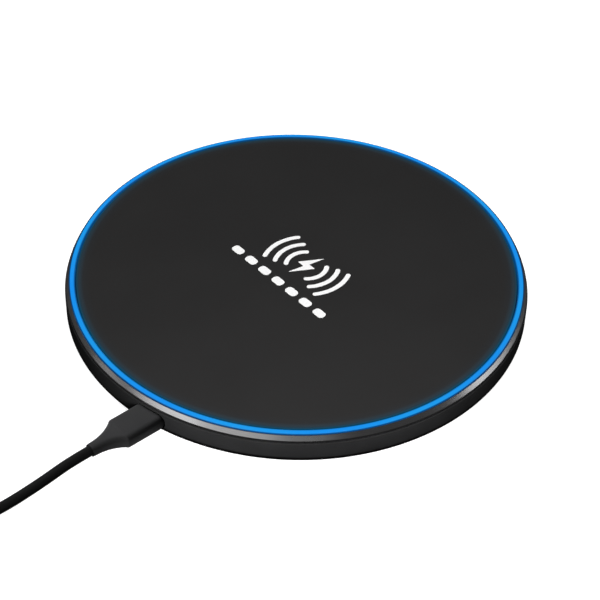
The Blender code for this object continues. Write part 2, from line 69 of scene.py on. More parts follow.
# Port, plug and cable
PORT_X, PORT_Z = 12.3, 3.0
PLUG_Y0, SHOULDER_Y, NECK_Y = -51.6, -62.3, -69.9
CABLE_D = 2.4
LAYER_TURNS, COIL_IN_R, COIL_OUT_R = 5.125, 7.5, 19.8
COIL_C = (PORT_X - COIL_OUT_R, -109.0)
LAYER_Z = (1.8, 4.2)
LEAD = [(12.3, -68.6, 3.0), (12.3, -70.2, 3.0), (12.3, -76.0, 2.8), (12.3, -83.0, 1.9),
        (12.3, -90.0, 1.35), (12.3, -95.0, 1.45), (12.3, -98.2, 1.7)]
TAIL = [(-27.3, -98.2, 3.7), (-27.4, -93.0, 2.5), (-28.2, -87.5, 2.2), (-29.5, -83.4, 3.0),
        (-31.0, -80.9, 3.8), (-32.2, -80.0, 3.9)]
USB_A = Matrix.Translation((-31.4, -80.6, 3.9)) @ Matrix.Rotation(math.radians(146.0), 4, "Z")


# ---------------------------------------------------------------- camera and light
CAMERA_AZIMUTH, CAMERA_ELEVATION, CAMERA_ROLL = 48.04, 41.94, 1.51
AIM = Vector((8.43, -6.33, 7.8)) * MM
CAMERA_DISTANCE = 0.4295
LENS, SENSOR = 110.3, 36.0
ROOM_Z, ROOM_STRENGTH = (-0.55, -0.30), (0.02, 0.06)     # the dim room darkens below the table's level
PLUG_SIDE = Vector((16.1, -62.0, 2.0)) * MM              # point on the plug's +X side
METAL_SIDES = (0, 90, 180, 270)  # sides of the boxes that only the plugs' and port's metal reflects


def direction(azimuth, elevation):
    """Unit vector; azimuth 0 is -Y and 90 is +X."""
    a, e = math.radians(azimuth), math.radians(elevation)
    return Vector((math.sin(a) * math.cos(e), -math.cos(a) * math.cos(e), math.sin(e)))


def make_camera():
    data = bpy.data.cameras.new("camera")
    data.lens, data.sensor_width = LENS, SENSOR
    data.clip_start, data.clip_end = 0.01, 20.0
    camera = bpy.data.objects.new("camera", data)
    back = direction(CAMERA_AZIMUTH, CAMERA_ELEVATION)
    turn = (-back).to_track_quat("-Z", "Y").to_matrix().to_4x4()
    roll = Matrix.Rotation(math.radians(CAMERA_ROLL), 4, "Z")
    camera.matrix_world = Matrix.Translation(AIM + back * CAMERA_DISTANCE) @ turn @ roll
    bpy.context.scene.collection.objects.link(camera)
    bpy.context.scene.camera = camera


def softbox(name, side, elevation, distance, size, radiance, shine=True, lights=True, aim=Vector()):
    """Area light aimed at the pad, or at another point; side is its angle to the right of the camera."""
    data = bpy.data.lights.new(name, "AREA")
    data.shape = "RECTANGLE"
    data.size, data.size_y = size
    data.energy = radiance * math.pi * size[0] * size[1]
    lamp = bpy.data.objects.new(name, data)
    out = direction(CAMERA_AZIMUTH + side, elevation)
    turn = out.to_track_quat("Z", "Y").to_matrix().to_4x4()
    lamp.matrix_world = Matrix.Translation(aim + out * distance) @ turn
    lamp.visible_camera = False
    lamp.visible_glossy = shine
    lamp.visible_diffuse = lights
    bpy.context.scene.collection.objects.link(lamp)


def make_stage():
    """White sweep that takes only a faint shadow, and a dim room for everything to reflect."""
    bm = bmesh.new()
    bmesh.ops.create_circle(bm, cap_ends=True, segments=96, radius=2.5)
    mesh = bpy.data.meshes.new("floor")
    bm.to_mesh(mesh)
    bm.free()
    floor = bpy.data.objects.new("floor", mesh)
    floor.location.z = -0.00003
    bpy.context.scene.collection.objects.link(floor)
    paper = bpy.data.materials.new("paper")
    paper.use_nodes = True
    shader = paper.node_tree.nodes["Principled BSDF"]
    shader.inputs["Base Color"].default_value = (0.5, 0.5, 0.5, 1.0)
    shader.inputs["Roughness"].default_value = 1.0
    shader.inputs["Specular IOR Level"].default_value = 0.0
    shader.inputs["Emission Color"].default_value = (1.0, 1.0, 1.0, 1.0)
    shader.inputs["Emission Strength"].default_value = 0.88
    mesh.materials.append(paper)
    floor.visible_glossy = False
    floor.visible_diffuse = False

    world = bpy.data.worlds.new("room")
    bpy.context.scene.world = world
    world.use_nodes = True
    tree = world.node_tree
    tree.nodes.clear()
    seen, dim = tree.nodes.new("ShaderNodeBackground"), tree.nodes.new("ShaderNodeBackground")
    seen.inputs["Color"].default_value = (1.0, 1.0, 1.0, 1.0)
    where, split = tree.nodes.new("ShaderNodeTexCoord"), tree.nodes.new("ShaderNodeSeparateXYZ")
    fade = tree.nodes.new("ShaderNodeMapRange")
    dim.inputs["Color"].default_value = (0.8, 0.8, 0.8, 1.0)
    for socket, value in zip(fade.inputs[1:5], ROOM_Z + ROOM_STRENGTH):
        socket.default_value = value
    tree.links.new(where.outputs["Generated"], split.inputs[0])
    tree.links.new(split.outputs["Z"], fade.inputs[0])
    tree.links.new(fade.outputs[0], dim.inputs["Strength"])
    path, mix = tree.nodes.new("ShaderNodeLightPath"), tree.nodes.new("ShaderNodeMixShader")
    out = tree.nodes.new("ShaderNodeOutputWorld")
    tree.links.new(path.outputs["Is Camera Ray"], mix.inputs["Fac"])
    tree.links.new(dim.outputs["Background"], mix.inputs[1])
    tree.links.new(seen.outputs["Background"], mix.inputs[2])
    tree.links.new(mix.outputs["Shader"], out.inputs["Surface"])
    bpy.context.scene.view_settings.view_transform = "Standard"


def make_lights():
    """Diffuse lamps that shape the surfaces, and glossy boxes that only show as reflections."""
    # name, side, elevation, distance, size, radiance
    for lamp in [("top_light", -10.0, 87.0, 1.0, (0.36, 0.36), 17.0),
                 ("sign_fill", 0.0, 80.0, 1.0, (0.3, 0.3), 8.5),
                 ("panel_fill", 0.0, 14.0, 0.19, (0.30, 0.03), 12.5),
                 ("wall_fill_left", -18.0, 15.5, 0.0934, (0.030, 0.012), 28.0),
                 ("wall_fill_right", 25.0, 15.5, 0.0934, (0.030, 0.012), 18.0),
                 ("plug_fill", -53.0, 14.0, 0.4, (0.20, 0.20), 5.5),
                 ("plug_key", -138.0, 50.0, 1.0, (0.36, 0.36), 24.0)]:
        softbox(*lamp, shine=False)
    # light that the table throws back on the plug's side
    softbox("plug_bounce", 42.0, -45.0, 0.0024, (0.018, 0.001), 3.2, shine=False, aim=PLUG_SIDE)
    softbox("back_fill", 180.0, 16.0, 1.0, (0.9, 0.3), 8.0, shine=False)
    for lamp in [("left_edge", -96.0, 8.0, 0.8, (0.50, 0.44), 0.60),
                 ("left_box", -53.5, 10.0, 0.8, (0.42, 0.44), 1.12),
                 ("left_wing", -21.5, 12.0, 0.8, (0.44, 0.44), 0.54),
                 ("front_wing", 6.0, 12.0, 0.8, (0.28, 0.44), 0.17),
                 ("right_box", 95.0, 8.0, 0.8, (0.52, 0.44), 1.3)]:
        softbox(*lamp, lights=False)
    for side in METAL_SIDES:
        softbox(f"metal_box_{side}", side, 24.0, 0.8, (0.90, 0.60), 0.5, lights=False)


def flag(lamp_name, state, pieces):
    """Card beside a lamp: it reaches only some pieces (INCLUDE) or misses them (EXCLUDE)."""
    group = bpy.data.collections.new(lamp_name + "_group")
    for piece in pieces:
        group.objects.link(bpy.data.objects[piece])
    for member in group.collection_objects:
        member.light_linking.link_state = state
    bpy.data.objects[lamp_name].light_linking.receiver_collection = group


def place_flags():
    """Keep lamps to their own surfaces: the sign, the panel, the wall, the plug with its cable, or metal."""
    lead, face = ["charging_cable", "plug_grip"], ["top_plate", "printed_sign"]
    flag("sign_fill", "INCLUDE", face[1:])
    flag("panel_fill", "INCLUDE", face)
    for lamp_name in ("wall_fill_left", "wall_fill_right", "back_fill"):
        flag(lamp_name, "EXCLUDE", face + lead)
    flag("top_light", "EXCLUDE", lead)
    for lamp_name in ("plug_key", "plug_fill", "plug_bounce"):
        flag(lamp_name, "INCLUDE", lead)
    port = [frame["nodes"][name].name for name in ("port_shell", "port_tongue")]
    for side in METAL_SIDES:
        flag(f"metal_box_{side}", "INCLUDE", ["usb_a_can", "usb_a_contacts", "plug_tip"] + port)


# ---------------------------------------------------------------- material helpers
class Look:
    """One procedural material: a Principled shader with texture nodes in the object's own coordinates."""

    def __init__(self, name, **sockets):
        self.mat = bpy.data.materials.new(name)
        self.mat.use_nodes = True
        self.tree = self.mat.node_tree
        self.shader = self.tree.nodes["Principled BSDF"]
        self.where = self.node("ShaderNodeTexCoord").outputs["Object"]
        self.put(**sockets)

    def node(self, kind, settings=None, **inputs):
        made = self.tree.nodes.new(kind)
        for key, value in (settings or {}).items():
            setattr(made, key, value)
        for key, value in inputs.items():
            self.feed(made.inputs[int(key[1:]) if key[0] == "_" else key.replace("_", " ")], value)
        return made

    def feed(self, socket, value):
        if isinstance(value, bpy.types.NodeSocket):
            self.tree.links.new(value, socket)
        elif socket.type == "RGBA":
            socket.default_value = (*value, 1.0)
        else:
            socket.default_value = value

    def put(self, **sockets):
        """Set or link the shader's own sockets, such as Base_Color."""
        for key, value in sockets.items():
            self.feed(self.shader.inputs[key.replace("_", " ")], value)

    def math(self, operation, a, b=0.0):
        return self.node("ShaderNodeMath", {"operation": operation}, _0=a, _1=b).outputs[0]

    def noise(self, scale, detail=3.0, stretch=(1.0, 1.0, 1.0), where=None):
        squeezed = self.node("ShaderNodeVectorMath", {"operation": "MULTIPLY"}, _0=where or self.where,
                             _1=stretch)
        made = self.node("ShaderNodeTexNoise", Vector=squeezed.outputs[0], Scale=scale, Detail=detail)
        return made.outputs[0]

    def cells(self, scale, feature="F1", where=None):
        made = self.node("ShaderNodeTexVoronoi", {"feature": feature}, Vector=where or self.where,
                         Scale=scale)
        return made.outputs["Distance"]

    def axes(self, where=None):
        return self.node("ShaderNodeSeparateXYZ", _0=where or self.where).outputs

    def radius(self, centre=(0.0, 0.0)):
        """Distance from a vertical axis, in metres."""
        moved = self.node("ShaderNodeVectorMath", {"operation": "SUBTRACT"}, _0=self.where, _1=(*centre, 0.0))
        flat = self.node("ShaderNodeVectorMath", {"operation": "MULTIPLY"}, _0=moved.outputs[0],
                         _1=(1.0, 1.0, 0.0))
        return self.node("ShaderNodeVectorMath", {"operation": "LENGTH"}, _0=flat.outputs[0]).outputs["Value"]

    def span(self, value, low, high, start=0.0, end=1.0):
        """Map low..high to start..end, clamped."""
        made = self.node("ShaderNodeMapRange", _0=value, _1=low, _2=high, _3=start, _4=end)
        return made.outputs[0]

    def ramp(self, value, *stops):
        """Colour ramp through (position, colour) stops."""
        made = self.node("ShaderNodeValToRGB", Fac=value)
        points = made.color_ramp.elements
        while len(points) < len(stops):
            points.new(1.0)
        for point, (position, colour) in zip(points, stops):
            point.position = position
            point.color = (*colour, 1.0)
        return made.outputs["Color"]

    def mix(self, share, a, b):
        made = self.node("ShaderNodeMix", {"data_type": "RGBA"})
        for socket, value in zip((made.inputs[0], made.inputs[6], made.inputs[7]), (share, a, b)):
            self.feed(socket, value)
        return made.outputs[2]

    def bump(self, height, depth, strength=1.0):
        """Relief whose full height is depth, in millimetres."""
        relief = self.node("ShaderNodeBump", Strength=strength, Distance=depth * MM, Height=height)
        self.put(Normal=relief.outputs[0])


def grey(value):
    return (value, value, value * 1.03)


def moulded(name, dark, light, rough, grain, depth, tint=(1.0, 1.0, 1.03), ior=1.48, painted_shade_below=None):
    """Moulded plastic or rubber: fine grain, faint mottling, and roughness that follows the grain.

    Below a height given in millimetres (the last argument), the colour falls to near black: a painted shade
    along the lowest band.
    """
    look = Look(name, IOR=ior)
    speck, cloud = look.noise(grain, 4.0), look.noise(120.0, 2.0)
    blend = look.math("ADD", look.math("MULTIPLY", speck, 0.55), look.math("MULTIPLY", cloud, 0.45))
    low, high = (tuple(value * part for part in tint) for value in (dark, light))
    colour = look.ramp(blend, (0.3, low), (0.7, high))
    if painted_shade_below:
        # painted shade: the colour falls to near black below the given height, a dark line along the foot
        unshaded_share = look.span(look.axes()[2], (painted_shade_below - 0.35) * MM, painted_shade_below * MM)
        colour = look.mix(unshaded_share, (0.002, 0.002, 0.002), colour)
    look.put(Base_Color=colour)
    look.put(Roughness=look.span(speck, 0.3, 0.7, rough - 0.06, rough + 0.08))
    look.bump(speck, depth)
    return look.mat


def metal(name, dark, light, rough, stretch, scale, depth=0.002):
    """Metal with fine working marks; stretch squeezes the noise along the marks."""
    look = Look(name, Metallic=1.0)
    marks, cloud = look.noise(scale, 3.0, stretch), look.noise(300.0, 2.0)
    look.put(Base_Color=look.ramp(marks, (0.25, dark), (0.75, light)))
    look.put(Roughness=look.span(cloud, 0.3, 0.7, rough - 0.05, rough + 0.07))
    look.bump(marks, depth)
    return look.mat


# ---------------------------------------------------------------- materials
def look_panel():
    """Soft-touch satin lacquer; its clear edge has a painted blue glow, standing for a little of the ring's
    light spreading inwards.
    """
    look = Look("panel_satin", IOR=1.45)
    grain, cloud = look.noise(5200.0, 4.0), look.noise(45.0, 2.0)
    satin = look.ramp(cloud, (0.35, (0.0255, 0.0250, 0.0250)), (0.65, (0.0275, 0.0270, 0.0270)))
    clear = look.span(look.radius(), (PANEL_R - 0.8) * MM, PANEL_R * MM)
    look.put(Base_Color=look.mix(clear, satin, (0.008, 0.010, 0.012)))
    look.put(Roughness=look.span(grain, 0.3, 0.7, 0.50, 0.60))
    look.bump(grain, 0.004)
    # painted glow: blue emission that grows over the last 3.2 mm towards the rim
    painted_glow_reach = look.span(look.radius(), (PANEL_R - 3.2) * MM, PANEL_R * MM)
    fade = look.ramp(painted_glow_reach, (0.0, (0.0, 0.0, 0.0)), (0.5, (0.0, 0.002, 0.004)),
                     (0.85, (0.0, 0.020, 0.036)), (1.0, (0.0, 0.048, 0.092)))
    look.put(Emission_Color=fade, Emission_Strength=1.0)
    return look.mat


def look_light_guide():
    """Milky plastic, lit from inside: bright over its crown, deep blue where it dips into the gaps.

    It is a little lighter over each of the evenly spaced lamps, and deeper between them.
    """
    look = Look("light_guide_blue", Roughness=0.35, Emission_Strength=1.0)
    milk = look.noise(900.0, 2.0)
    look.put(Base_Color=look.ramp(milk, (0.3, (0.002, 0.02, 0.06)), (0.7, (0.003, 0.025, 0.07))))
    axis = look.axes()
    angle = look.math("SUBTRACT", look.math("ARCTAN2", axis[1], axis[0]), math.radians(LAMP_ANGLE))
    near = look.span(look.math("COSINE", look.math("MULTIPLY", angle, float(LAMPS))), -1.0, 1.0)
    around = look.mix(near, (0.005, 0.255, 0.79), (0.008, 0.295, 0.76))
    inside = look.span(look.radius(), (RING_IN_R + 0.10) * MM, (RING_IN_R + 0.42) * MM)
    outside = look.span(look.radius(), (RING_OUT_R - 0.12) * MM, RING_OUT_R * MM, 1.0, 0.0)
    crown = look.math("MULTIPLY", inside, outside)
    gap = look.mix(look.span(axis[2], 6.4 * MM, 6.9 * MM), (0.0, 0.0, 0.0), (0.0, 0.045, 0.16))
    look.put(Emission_Color=look.mix(crown, gap, around))
    return look.mat


def look_trim():
    """Anodised aluminium with the fine rings that turning leaves."""
    look = Look("trim_aluminium", Metallic=1.0)
    height = look.axes()[2]
    across = look.math("ADD", look.math("MULTIPLY", look.radius(), 0.5), look.math("MULTIPLY", height, -0.9))
    rings = look.node("ShaderNodeTexNoise", {"noise_dimensions": "1D"}, W=across, Scale=16000.0,
                      Detail=2.0).outputs[0]
    look.put(Base_Color=look.ramp(rings, (0.3, (0.60, 0.60, 0.61)), (0.7, (0.68, 0.68, 0.69))))
    look.put(Roughness=look.span(look.noise(200.0), 0.3, 0.7, 0.27, 0.30))
    look.bump(rings, 0.0002)
    return look.mat


def look_print():
    """Screen-printed white ink with a slightly uneven film."""
    look = Look("print_white", IOR=1.5)
    film = look.noise(2600.0, 4.0)
    look.put(Base_Color=look.ramp(film, (0.3, (0.86, 0.86, 0.86)), (0.7, (0.93, 0.93, 0.93))))
    look.put(Roughness=look.span(film, 0.3, 0.7, 0.45, 0.6))
    look.bump(film, 0.004)
    return look.mat


def look_label():
    """Blank grey film with a printed double border."""
    look = Look("label_grey", IOR=1.48)
    r = look.radius()
    lines = [look.math("LESS_THAN", look.math("ABSOLUTE", look.math("SUBTRACT", r, at * MM)), 0.12 * MM)
             for at in (15.0, 15.8)]
    film = look.ramp(look.noise(1500.0, 3.0), (0.3, grey(0.045)), (0.7, grey(0.06)))
    look.put(Base_Color=look.mix(look.math("MAXIMUM", *lines), film, grey(0.35)))
    look.put(Roughness=look.span(look.noise(700.0), 0.3, 0.7, 0.4, 0.55))
    look.bump(look.noise(2500.0), 0.003)
    return look.mat


def look_copper():
    """Litz wire: many lacquered strands twisted together."""
    look = Look("copper_litz", Metallic=1.0)
    twist = look.node("ShaderNodeTexWave", {"bands_direction": "DIAGONAL"}, Vector=look.where, Scale=900.0,
                      Distortion=1.5, Detail=2.0).outputs[1]
    look.put(Base_Color=look.ramp(twist, (0.1, (0.30, 0.11, 0.04)), (0.8, (0.72, 0.36, 0.17))))
    look.put(Roughness=look.span(twist, 0.0, 1.0, 0.5, 0.32))
    look.bump(twist, 0.06)
    return look.mat


def look_board():
    """Solder mask over copper tracks, with tinned vias."""
    look = Look("pcb_green", IOR=1.52)
    track = look.node("ShaderNodeTexBrick", {"offset": 0.35}, Vector=look.where, Scale=330.0,
                      Color1=(1, 1, 1), Color2=(1, 1, 1), Mortar=(0, 0, 0), Mortar_Size=0.03).outputs[0]
    via = look.math("LESS_THAN", look.cells(420.0), 0.16)
    mask = look.mix(track, (0.012, 0.10, 0.045), (0.018, 0.15, 0.065))
    look.put(Base_Color=look.mix(via, mask, (0.55, 0.52, 0.42)), Metallic=via)
    look.put(Roughness=look.span(look.noise(900.0), 0.3, 0.7, 0.3, 0.42))
    look.bump(track, 0.03)
    return look.mat


def look_capacitor():
    """Tan ceramic body between tinned end caps."""
    low, high = (corner.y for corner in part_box("resonant_capacitor_1"))
    look = Look("capacitor_tan", IOR=1.6)
    off = look.math("ABSOLUTE", look.math("SUBTRACT", look.axes()[1], (low + high) / 2))
    cap = look.math("GREATER_THAN", off, (high - low) / 2 - 0.6 * MM)
    body = look.ramp(look.noise(1800.0), (0.3, (0.36, 0.25, 0.14)), (0.7, (0.46, 0.33, 0.19)))
    look.put(Base_Color=look.mix(cap, body, (0.62, 0.61, 0.58)), Metallic=cap)
    look.put(Roughness=look.span(look.noise(800.0), 0.3, 0.7, 0.35, 0.5))
    look.bump(look.noise(2400.0), 0.01)
    return look.mat


def look_led():
    """White package with a pale phosphor window on its upper face."""
    look = Look("led_white", IOR=1.5)
    up = look.axes(look.node("ShaderNodeNewGeometry").outputs["Normal"])[2]
    body = look.ramp(look.noise(3000.0), (0.3, (0.70, 0.71, 0.72)), (0.7, (0.82, 0.83, 0.84)))
    look.put(Base_Color=look.mix(look.math("GREATER_THAN", up, 0.9), body, (0.72, 0.70, 0.40)))
    look.put(Roughness=look.span(look.noise(1500.0), 0.3, 0.7, 0.3, 0.45))
    look.bump(look.noise(3000.0), 0.005)
    return look.mat


def look_foam():
    """Open-cell foam."""
    look = Look("foam", Specular_IOR_Level=0.1)
    pores = look.cells(1900.0)
    look.put(Base_Color=look.ramp(pores, (0.1, grey(0.015)), (0.6, grey(0.07))))
    look.put(Roughness=look.span(look.noise(600.0), 0.3, 0.7, 0.88, 1.0))
    look.bump(pores, 0.25)
    return look.mat


def look_strap():
    """Woven hook-and-loop strap."""
    look = Look("tie_black", Sheen_Weight=0.35, Sheen_Roughness=0.5)
    axis = look.axes()
    weave = look.math("MULTIPLY", look.math("SINE", look.math("MULTIPLY", axis[0], 9000.0)),
                      look.math("SINE", look.math("MULTIPLY", look.math("ADD", axis[1], axis[2]), 9000.0)))
    fuzz = look.noise(4200.0, 5.0)
    cloth = look.math("ADD", look.span(weave, -1.0, 1.0, 0.0, 0.5), look.math("MULTIPLY", fuzz, 0.5))
    look.put(Base_Color=look.ramp(cloth, (0.2, grey(0.010)), (0.8, grey(0.034))))
    look.put(Roughness=look.span(fuzz, 0.3, 0.7, 0.85, 0.98))
    look.bump(cloth, 0.09)
    return look.mat


def look_gold():
    """Gold flash on contact strips."""
    return metal("contact_gold", (0.78, 0.52, 0.17), (0.90, 0.66, 0.28), 0.24, (1.0, 0.1, 1.0), 3000.0)


def make_looks():
    """Material of each record slot, and of the two finishes that only the visual has."""
    return {
        # the base's lowest 1.75 mm gets a painted shade, a near-black band along the foot of the wall
        "base_black": moulded("base_black", 0.0130, 0.0215, 0.70, 5200.0, 0.022, ior=1.2, painted_shade_below=1.75),
        "frame_grey": moulded("frame_grey", 0.070, 0.100, 0.55, 2800.0, 0.012),
        "trim_aluminium": look_trim(),
        "light_guide_blue": look_light_guide(),
        "panel_satin": look_panel(),
        "adhesive": moulded("adhesive", 0.52, 0.66, 0.7, 1600.0, 0.01, (1.0, 0.97, 0.85)),
        "silicone": moulded("silicone", 0.022, 0.032, 0.78, 2400.0, 0.015),
        "screw_steel": metal("screw_steel", (0.30, 0.30, 0.31), (0.46, 0.46, 0.47), 0.32,
                             (1.0, 1.0, 0.2), 2400.0),
        "label_grey": look_label(),
        "copper_litz": look_copper(),
        "ferrite": moulded("ferrite", 0.035, 0.065, 0.7, 3600.0, 0.03),
        "foam": look_foam(),
        "pcb_green": look_board(),
        "tin_shell": metal("tin_shell", (0.56, 0.56, 0.57), (0.70, 0.70, 0.71), 0.27,
                           (1.0, 0.12, 1.0), 2600.0),
        "contact_plastic": moulded("contact_plastic", 0.012, 0.020, 0.45, 3200.0, 0.006),
        "chip_black": moulded("chip_black", 0.018, 0.030, 0.5, 4200.0, 0.012),
        "capacitor_tan": look_capacitor(),
        "inductor_grey": moulded("inductor_grey", 0.09, 0.14, 0.6, 3400.0, 0.03),
        "led_white": look_led(),
        "board_white": moulded("board_white", 0.68, 0.80, 0.45, 900.0, 0.008, (1.0, 1.0, 0.96)),
        "plug_black": moulded("plug_black", 0.038, 0.046, 0.60, 4200.0, 0.012),
        "cable_black": moulded("cable_black", 0.0095, 0.0135, 0.40, 3600.0, 0.008),
        "tie_black": look_strap(),
        "print_white": look_print(),
        "contact_gold": look_gold(),
    }


# ---------------------------------------------------------------- mesh helpers
def join(bm, a, b):
    """Faces between two rings of the same length, or between a ring and a single point."""
    count = max(len(a), len(b))
    if count == 1:
        return
    for i in range(count):
        j = (i + 1) % count
        corners = [a[i % len(a)], a[j % len(a)], b[j % len(b)], b[i % len(b)]]
        bm.faces.new(list(dict.fromkeys(corners)))


def arc(x, y, radius, start, end, steps):
    """Points of an arc; angles in degrees."""
    for step in range(steps + 1):
        angle = math.radians(start + (end - start) * step / steps)
        yield x + radius * math.cos(angle), y + radius * math.sin(angle)


def turned(outline, segments=ROUND, centre=(0.0, 0.0)):
    """Closed (r, z) outline turned about a vertical axis."""
    bm = bmesh.new()
    rings = []
    for r, z in outline:
        angles = [2 * math.pi * i / segments for i in range(segments)] if r else [0.0]
        rings.append([bm.verts.new((centre[0] + r * math.cos(a), centre[1] + r * math.sin(a), z))
                      for a in angles])
    for a, b in zip(rings, rings[1:] + rings[:1]):
        join(bm, a, b)
    return bm


def loft(sections, bm=None):
    """Skin over equal rings of points, capped at both ends."""
    bm = bm or bmesh.new()
    rings = [[bm.verts.new(point) for point in section] for section in sections]
    for a, b in zip(rings, rings[1:]):
        join(bm, a, b)
    bm.faces.new(rings[0][::-1])
    bm.faces.new(rings[-1])
    return bm


def along_x(a, b, depth):
    return depth, a, b


def along_y(a, b, depth):
    return a, depth, b


def along_z(a, b, depth):
    return a, b, depth


def prism(outline, start, end, place=along_z, bm=None):
    """Flat outline pushed from start to end along an axis."""
    return loft([[place(a, b, depth) for a, b in outline] for depth in (start, end)], bm)


def rounded_rect(width, height, radius, centre=(0.0, 0.0), steps=6):
    """Outline of a rounded rectangle, counter-clockwise from its right-hand side."""
    points = []
    for quadrant, (sx, sy) in enumerate([(1, 1), (-1, 1), (-1, -1), (1, -1)]):
        x, y = centre[0] + sx * (width / 2 - radius), centre[1] + sy * (height / 2 - radius)
        points += arc(x, y, radius, 90 * quadrant, 90 * quadrant + 90, steps)
    return points


def rounded(corners, radius, steps=4):
    """Polygon with each corner replaced by a small curve."""
    points = []
    for i, corner in enumerate(corners):
        here, before, after = Vector(corner), Vector(corners[i - 1]), Vector(corners[(i + 1) % len(corners)])
        start, end = (here + (other - here).normalized() * radius for other in (before, after))
        for step in range(steps + 1):
            t = step / steps
            points.append(tuple(start * (1 - t) ** 2 + here * 2 * t * (1 - t) + end * t ** 2))
    return points


def smooth_line(knots, spacing):
    """Even points along a smooth curve (Catmull-Rom) through the knots."""
    knots = [Vector(p) for p in knots]
    ends = [2 * knots[0] - knots[1]] + knots + [2 * knots[-1] - knots[-2]]
    fine = []
    for a, b, c, d in zip(ends, ends[1:], ends[2:], ends[3:]):
        for step in range(8):
            t = step / 8
            fine.append(0.5 * (2 * b + (c - a) * t + (2 * a - 5 * b + 4 * c - d) * t * t
                               + (3 * b - a - 3 * c + d) * t ** 3))
    fine.append(knots[-1])
    even, wanted, travelled = [fine[0]], spacing, 0.0
    for p, q in zip(fine, fine[1:]):
        step = (q - p).length
        while travelled + step >= wanted:
            even.append(p.lerp(q, (wanted - travelled) / step))
            wanted += spacing
        travelled += step
    if (even[-1] - fine[-1]).length < spacing / 2:
        even.pop()
    return even + [fine[-1]]


def make_object(name, bm, transform=None):
    """Object from a mesh drawn in millimetres, moved into place first if asked."""
    bmesh.ops.recalc_face_normals(bm, faces=bm.faces)
    if transform:
        bm.transform(transform)
    bm.transform(Matrix.Scale(MM, 4))
    mesh = bpy.data.meshes.new(name)
    bm.to_mesh(mesh)
    bm.free()
    obj = bpy.data.objects.new(name, mesh)
    bpy.context.scene.collection.objects.link(obj)
    return obj


def settle(obj):
    """Replace an object's mesh with the one its modifiers give."""
    evaluated = obj.evaluated_get(bpy.context.evaluated_depsgraph_get())
    obj.data = bpy.data.meshes.new_from_object(evaluated)
    obj.modifiers.clear()


def carve(obj, cuts, operation="DIFFERENCE"):
    """Cut or join exact shapes into an object."""
    cutters = [make_object("cutter", bm) for bm in cuts]
    for cutter in cutters:
        mod = obj.modifiers.new("carve", "BOOLEAN")
        mod.operation, mod.object, mod.solver = operation, cutter, "EXACT"
    settle(obj)
    for cutter in cutters:
        bpy.data.objects.remove(cutter)


def dress(obj, body, slot, *nodes, look=None, crease=28):
    """Shade a piece, give it its material, and let it ride with its body in place of CAD nodes."""
    obj.data.materials.clear()
    obj.data.materials.append(LOOKS[look or slot])
    if obj.type == "MESH":
        obj.data.shade_smooth()
        obj.data.set_sharp_from_angle(angle=math.radians(crease))
    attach(obj, body)
    if nodes:
        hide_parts(*nodes)
    return obj


def polar(radius, degrees):
    """Point at a radius and an angle about the origin."""
    return radius * math.cos(math.radians(degrees)), radius * math.sin(math.radians(degrees))


# ---------------------------------------------------------------- cable
def coil_points():
    """Lower layer wound inwards, a short rise, then the upper layer wound outwards."""
    per_turn, rise = 24, 0.25
    total = 2 * LAYER_TURNS + rise
    pitch = (COIL_OUT_R - COIL_IN_R) / LAYER_TURNS
    points = []
    for step in range(round(total * per_turn) + 1):
        turn = step / per_turn
        layer_turn = min(turn, total - turn, LAYER_TURNS)
        x, y = polar(COIL_OUT_R - pitch * layer_turn, -360.0 * turn)
        climb = min(max((turn - LAYER_TURNS) / rise, 0.0), 1.0)
        height = LAYER_Z[0] + (LAYER_Z[1] - LAYER_Z[0]) * climb * climb * (3 - 2 * climb)
        points.append((COIL_C[0] + x, COIL_C[1] + y, height))
    return points


def make_cable():
    """The whole cord on one smooth curve: lead, wound coil and tail."""
    route = smooth_line(LEAD + coil_points() + TAIL, 0.9)
    data = bpy.data.curves.new("charging_cable", "CURVE")
    data.dimensions = "3D"
    data.bevel_depth = CABLE_D / 2 * MM
    data.bevel_resolution = 6
    data.use_fill_caps = True
    spline = data.splines.new("POLY")
    spline.points.add(len(route) - 1)
    for target, point in zip(spline.points, route):
        target.co = (*(point * MM), 1.0)
    spline.use_smooth = True
    cable = bpy.data.objects.new("charging_cable", data)
    bpy.context.scene.collection.objects.link(cable)
    return dress(cable, "cable", "cable_black", "cable_lead", "cable_tail", "cable_coil")


# ---------------------------------------------------------------- case
def make_case_body():
    """Base moulding: fine-grained wall, rounded bottom edge, posts, foot and label recesses, port mouth."""
    outline = [(0.0, INNER_FLOOR), (LEDGE_R, INNER_FLOOR), (LEDGE_R, LEDGE_TOP), (WALL_IN_R, LEDGE_TOP),
               (WALL_IN_R, WALL_TOP)]
    outline += arc(PAD_R - 0.15, WALL_TOP - 0.15, 0.15, 90, 0, 3)
    outline += arc(PAD_R - EDGE_R, FLOOR_Z + EDGE_R, EDGE_R, 0, -90, 6)
    outline.append((0.0, FLOOR_Z))
    body = make_object("case_body", turned(outline))
    posts, cuts = [], []
    for angle in POST_ANGLES:
        centre = polar(POST_ORBIT, angle)
        posts.append(turned([(0.0, POST_TOP), (6.0, POST_TOP), (6.0, 1.0), (0.0, 1.0)], 48, centre))
        cuts.append(turned([(0.0, 3.0), (1.2, 3.0), (1.2, 1.85), (2.2, 1.85), (2.2, 0.9), (FOOT_R + GAP, 0.9),
                            (FOOT_R + GAP, -1.0), (0.0, -1.0)], 48, centre))
    for x, y in [(-13.0, -44.0), (-13.0, -31.0), (19.5, -31.5)]:
        posts.append(turned([(0.0, 2.25), (1.4, 2.25), (1.4, 1.0), (0.0, 1.0)], 24, (x, y)))
    cuts.append(turned([(0.0, 0.8), (17.3, 0.8), (17.3, -1.0), (0.0, -1.0)], 96))
    mouth = rounded_rect(7.6 + 2 * GAP, 3.9 + 2 * GAP, 1.7 + GAP, (PORT_X, PORT_Z))
    cuts.append(prism(mouth, -57.0, -51.25, along_y))
    cuts.append(prism(rounded_rect(8.5, 3.5, 0.5, (PORT_X, PORT_Z)), -51.4, -46.0, along_y))
    carve(body, posts, "UNION")
    carve(body, cuts)
    dress(body, "pad", "base_black", "base_shell")


